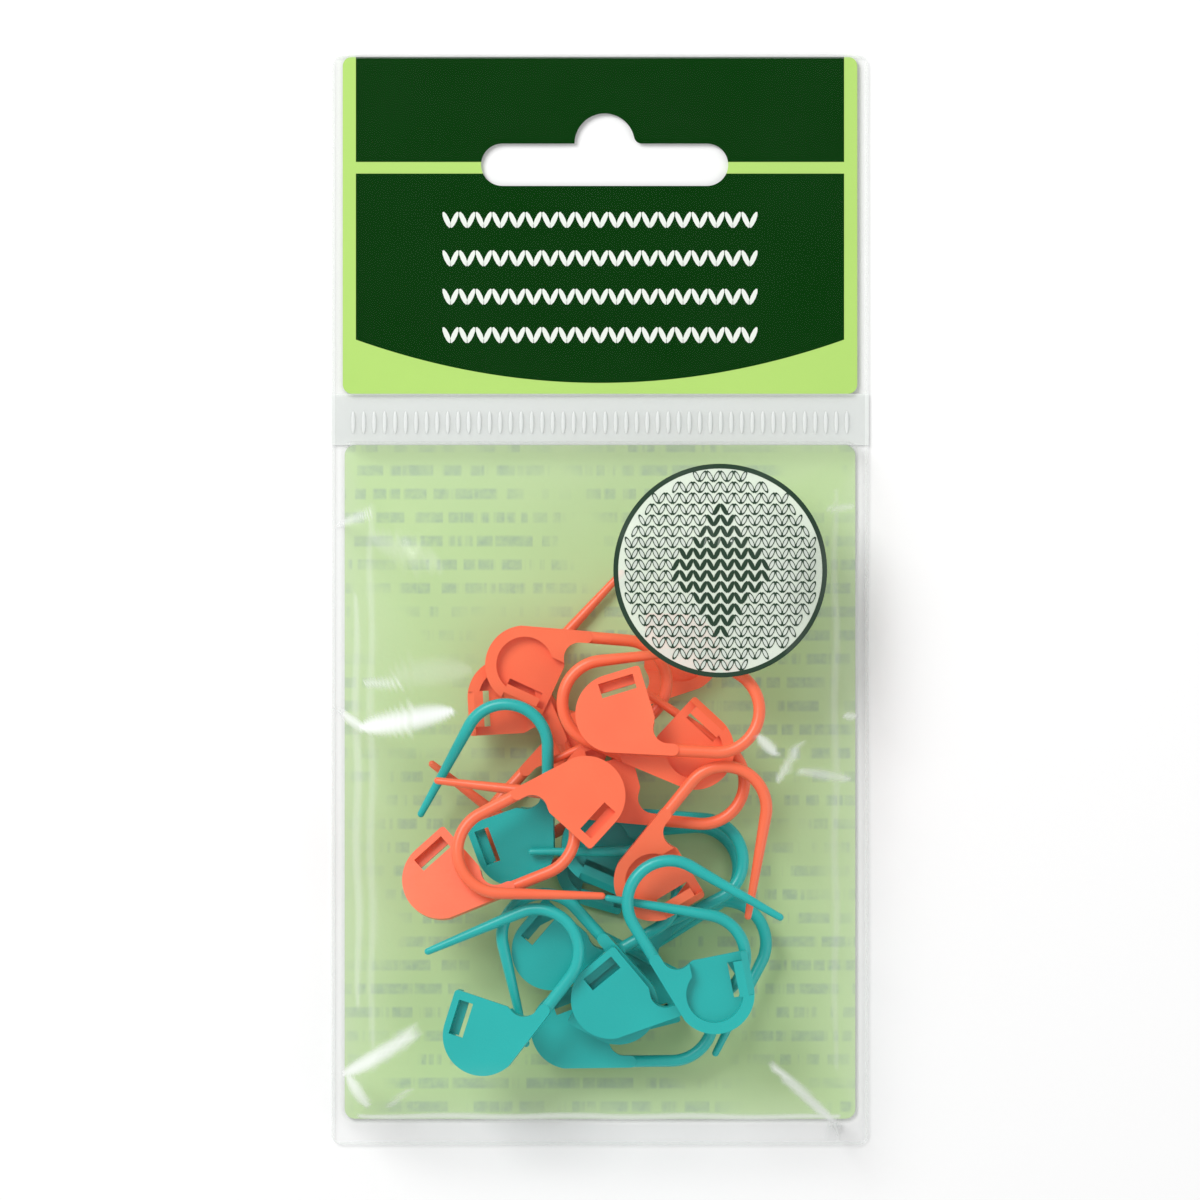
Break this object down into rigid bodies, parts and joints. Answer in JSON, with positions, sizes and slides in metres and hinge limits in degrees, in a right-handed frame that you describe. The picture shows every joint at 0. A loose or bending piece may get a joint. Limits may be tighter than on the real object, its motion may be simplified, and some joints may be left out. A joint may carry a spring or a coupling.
{
  "type": "stitch marker",
  "caption": "Hanging packet of locking stitch markers: clear film pouch with a header card, a hang slot and a crimped seal, holding coral and teal markers whose arms swing shut.",
  "frame": {"origin": "centre of the packet's outline, on the underside of the back film", "axes": "+X across the packet, +Y up towards the hang slot, +Z out of the front film"},
  "size_m": [0.0696, 0.1412, 0.0167],
  "materials": {
    "clear_film": "clear glossy film",
    "printed_card": "printed, satin",
    "insert_paper": "printed, matt",
    "badge_print": "glossy ink on film",
    "coral_plastic": "semi-gloss",
    "teal_plastic": "semi-gloss"
  },
  "bodies": {
    "packet": {"back_film": "clear_film", "front_film": "clear_film", "header_card": "printed_card", "insert_sheet": "insert_paper", "badge": "badge_print", "coral_1_body": "coral_plastic", "coral_2_body": "coral_plastic", "coral_3_body": "coral_plastic", "coral_4_body": "coral_plastic", "coral_5_body": "coral_plastic", "coral_6_body": "coral_plastic", "coral_7_body": "coral_plastic", "coral_8_body": "coral_plastic", "coral_9_body": "coral_plastic", "coral_10_body": "coral_plastic", "teal_1_body": "teal_plastic", "teal_2_body": "teal_plastic", "teal_3_body": "teal_plastic", "teal_4_body": "teal_plastic", "teal_5_body": "teal_plastic", "teal_6_body": "teal_plastic", "teal_7_body": "teal_plastic", "teal_8_body": "teal_plastic", "teal_9_body": "teal_plastic", "teal_10_body": "teal_plastic"},
    "coral_1_swing": {"coral_1_arm": "coral_plastic"},
    "coral_2_swing": {"coral_2_arm": "coral_plastic"},
    "coral_3_swing": {"coral_3_arm": "coral_plastic"},
    "coral_4_swing": {"coral_4_arm": "coral_plastic"},
    "coral_5_swing": {"coral_5_arm": "coral_plastic"},
    "coral_6_swing": {"coral_6_arm": "coral_plastic"},
    "coral_7_swing": {"coral_7_arm": "coral_plastic"},
    "coral_8_swing": {"coral_8_arm": "coral_plastic"},
    "coral_9_swing": {"coral_9_arm": "coral_plastic"},
    "coral_10_swing": {"coral_10_arm": "coral_plastic"},
    "teal_1_swing": {"teal_1_arm": "teal_plastic"},
    "teal_2_swing": {"teal_2_arm": "teal_plastic"},
    "teal_3_swing": {"teal_3_arm": "teal_plastic"},
    "teal_4_swing": {"teal_4_arm": "teal_plastic"},
    "teal_5_swing": {"teal_5_arm": "teal_plastic"},
    "teal_6_swing": {"teal_6_arm": "teal_plastic"},
    "teal_7_swing": {"teal_7_arm": "teal_plastic"},
    "teal_8_swing": {"teal_8_arm": "teal_plastic"},
    "teal_9_swing": {"teal_9_arm": "teal_plastic"},
    "teal_10_swing": {"teal_10_arm": "teal_plastic"}
  },
  "joints": [
    {"name": "coral_1_hinge", "type": "hinge", "parent": "packet", "child": "coral_1_swing", "pos_m": [0.00855, -0.0101, 0.00702], "axis": [0, 0, -1], "range_deg": [0, 33], "stiffness_Nm_per_rad": 0.0005},
    {"name": "coral_2_hinge", "type": "hinge", "parent": "packet", "child": "coral_2_swing", "pos_m": [-0.00494, -0.02946, 0.00517], "axis": [0, 0, -1], "range_deg": [0, 33], "stiffness_Nm_per_rad": 0.0005},
    {"name": "coral_3_hinge", "type": "hinge", "parent": "packet", "child": "coral_3_swing", "pos_m": [0.02025, -0.01534, 0.01445], "axis": [-0.052, 0.1044, 0.9932], "range_deg": [0, 33], "stiffness_Nm_per_rad": 0.0005},
    {"name": "coral_4_hinge", "type": "hinge", "parent": "packet", "child": "coral_4_swing", "pos_m": [-0.01349, -0.03286, 0.00317], "axis": [0, 0, 1], "range_deg": [0, 33], "stiffness_Nm_per_rad": 0.0005},
    {"name": "coral_5_hinge", "type": "hinge", "parent": "packet", "child": "coral_5_swing", "pos_m": [-0.00468, -0.01197, 0.01083], "axis": [0, 0, -1], "range_deg": [0, 33], "stiffness_Nm_per_rad": 0.0005},
    {"name": "coral_6_hinge", "type": "hinge", "parent": "packet", "child": "coral_6_swing", "pos_m": [-0.01798, -0.03374, 0.01485], "axis": [0, 0.1045, 0.9945], "range_deg": [0, 33], "stiffness_Nm_per_rad": 0.0005},
    {"name": "coral_7_hinge", "type": "hinge", "parent": "packet", "child": "coral_7_swing", "pos_m": [-0.00333, -0.02882, 0.01234], "axis": [-0.1033, 0.1556, 0.9824], "range_deg": [0, 33], "stiffness_Nm_per_rad": 0.0005},
    {"name": "coral_8_hinge", "type": "hinge", "parent": "packet", "child": "coral_8_swing", "pos_m": [0.01854, -0.02199, 0.01278], "axis": [0, 0.1045, -0.9945], "range_deg": [0, 33], "stiffness_Nm_per_rad": 0.0005},
    {"name": "coral_9_hinge", "type": "hinge", "parent": "packet", "child": "coral_9_swing", "pos_m": [0.01837, -0.0248, 0.00883], "axis": [0, 0, 1], "range_deg": [0, 33], "stiffness_Nm_per_rad": 0.0005},
    {"name": "coral_10_hinge", "type": "hinge", "parent": "packet", "child": "coral_10_swing", "pos_m": [-0.00698, -0.01244, 0.00147], "axis": [0, 0, -1], "range_deg": [0, 33], "stiffness_Nm_per_rad": 0.0005},
    {"name": "teal_1_hinge", "type": "hinge", "parent": "packet", "child": "teal_1_swing", "pos_m": [-0.0112, -0.01348, 0.00917], "axis": [-0.104, -0.104, 0.9891], "range_deg": [0, 33], "stiffness_Nm_per_rad": 0.0005},
    {"name": "teal_2_hinge", "type": "hinge", "parent": "packet", "child": "teal_2_swing", "pos_m": [0.01838, -0.03298, 0.00599], "axis": [-0.0523, 0, -0.9986], "range_deg": [0, 33], "stiffness_Nm_per_rad": 0.0005},
    {"name": "teal_3_hinge", "type": "hinge", "parent": "packet", "child": "teal_3_swing", "pos_m": [0.00535, -0.03467, 0.01485], "axis": [0, 0.0523, -0.9986], "range_deg": [0, 33], "stiffness_Nm_per_rad": 0.0005},
    {"name": "teal_4_hinge", "type": "hinge", "parent": "packet", "child": "teal_4_swing", "pos_m": [0.0199, -0.04051, 0.00332], "axis": [0, 0, -1], "range_deg": [0, 33], "stiffness_Nm_per_rad": 0.0005},
    {"name": "teal_5_hinge", "type": "hinge", "parent": "packet", "child": "teal_5_swing", "pos_m": [0.01854, -0.04479, 0.01224], "axis": [0, -0.1045, 0.9945], "range_deg": [0, 33], "stiffness_Nm_per_rad": 0.0005},
    {"name": "teal_6_hinge", "type": "hinge", "parent": "packet", "child": "teal_6_swing", "pos_m": [-0.0041, -0.04137, 0.01396], "axis": [-0.1562, -0.0517, 0.9864], "range_deg": [0, 33], "stiffness_Nm_per_rad": 0.0005},
    {"name": "teal_7_hinge", "type": "hinge", "parent": "packet", "child": "teal_7_swing", "pos_m": [-0.01004, -0.03852, 0.01103], "axis": [0, -0.1045, 0.9945], "range_deg": [0, 33], "stiffness_Nm_per_rad": 0.0005},
    {"name": "teal_8_hinge", "type": "hinge", "parent": "packet", "child": "teal_8_swing", "pos_m": [0.01451, -0.05489, 0.00502], "axis": [0, 0, 1], "range_deg": [0, 33], "stiffness_Nm_per_rad": 0.0005},
    {"name": "teal_9_hinge", "type": "hinge", "parent": "packet", "child": "teal_9_swing", "pos_m": [0.00957, -0.03583, 0.00946], "axis": [0, -0.1045, 0.9945], "range_deg": [0, 33], "stiffness_Nm_per_rad": 0.0005},
    {"name": "teal_10_hinge", "type": "hinge", "parent": "packet", "child": "teal_10_swing", "pos_m": [0.01769, -0.03343, 0.00147], "axis": [0, 0, -1], "range_deg": [0, 33], "stiffness_Nm_per_rad": 0.0005}
  ]
}
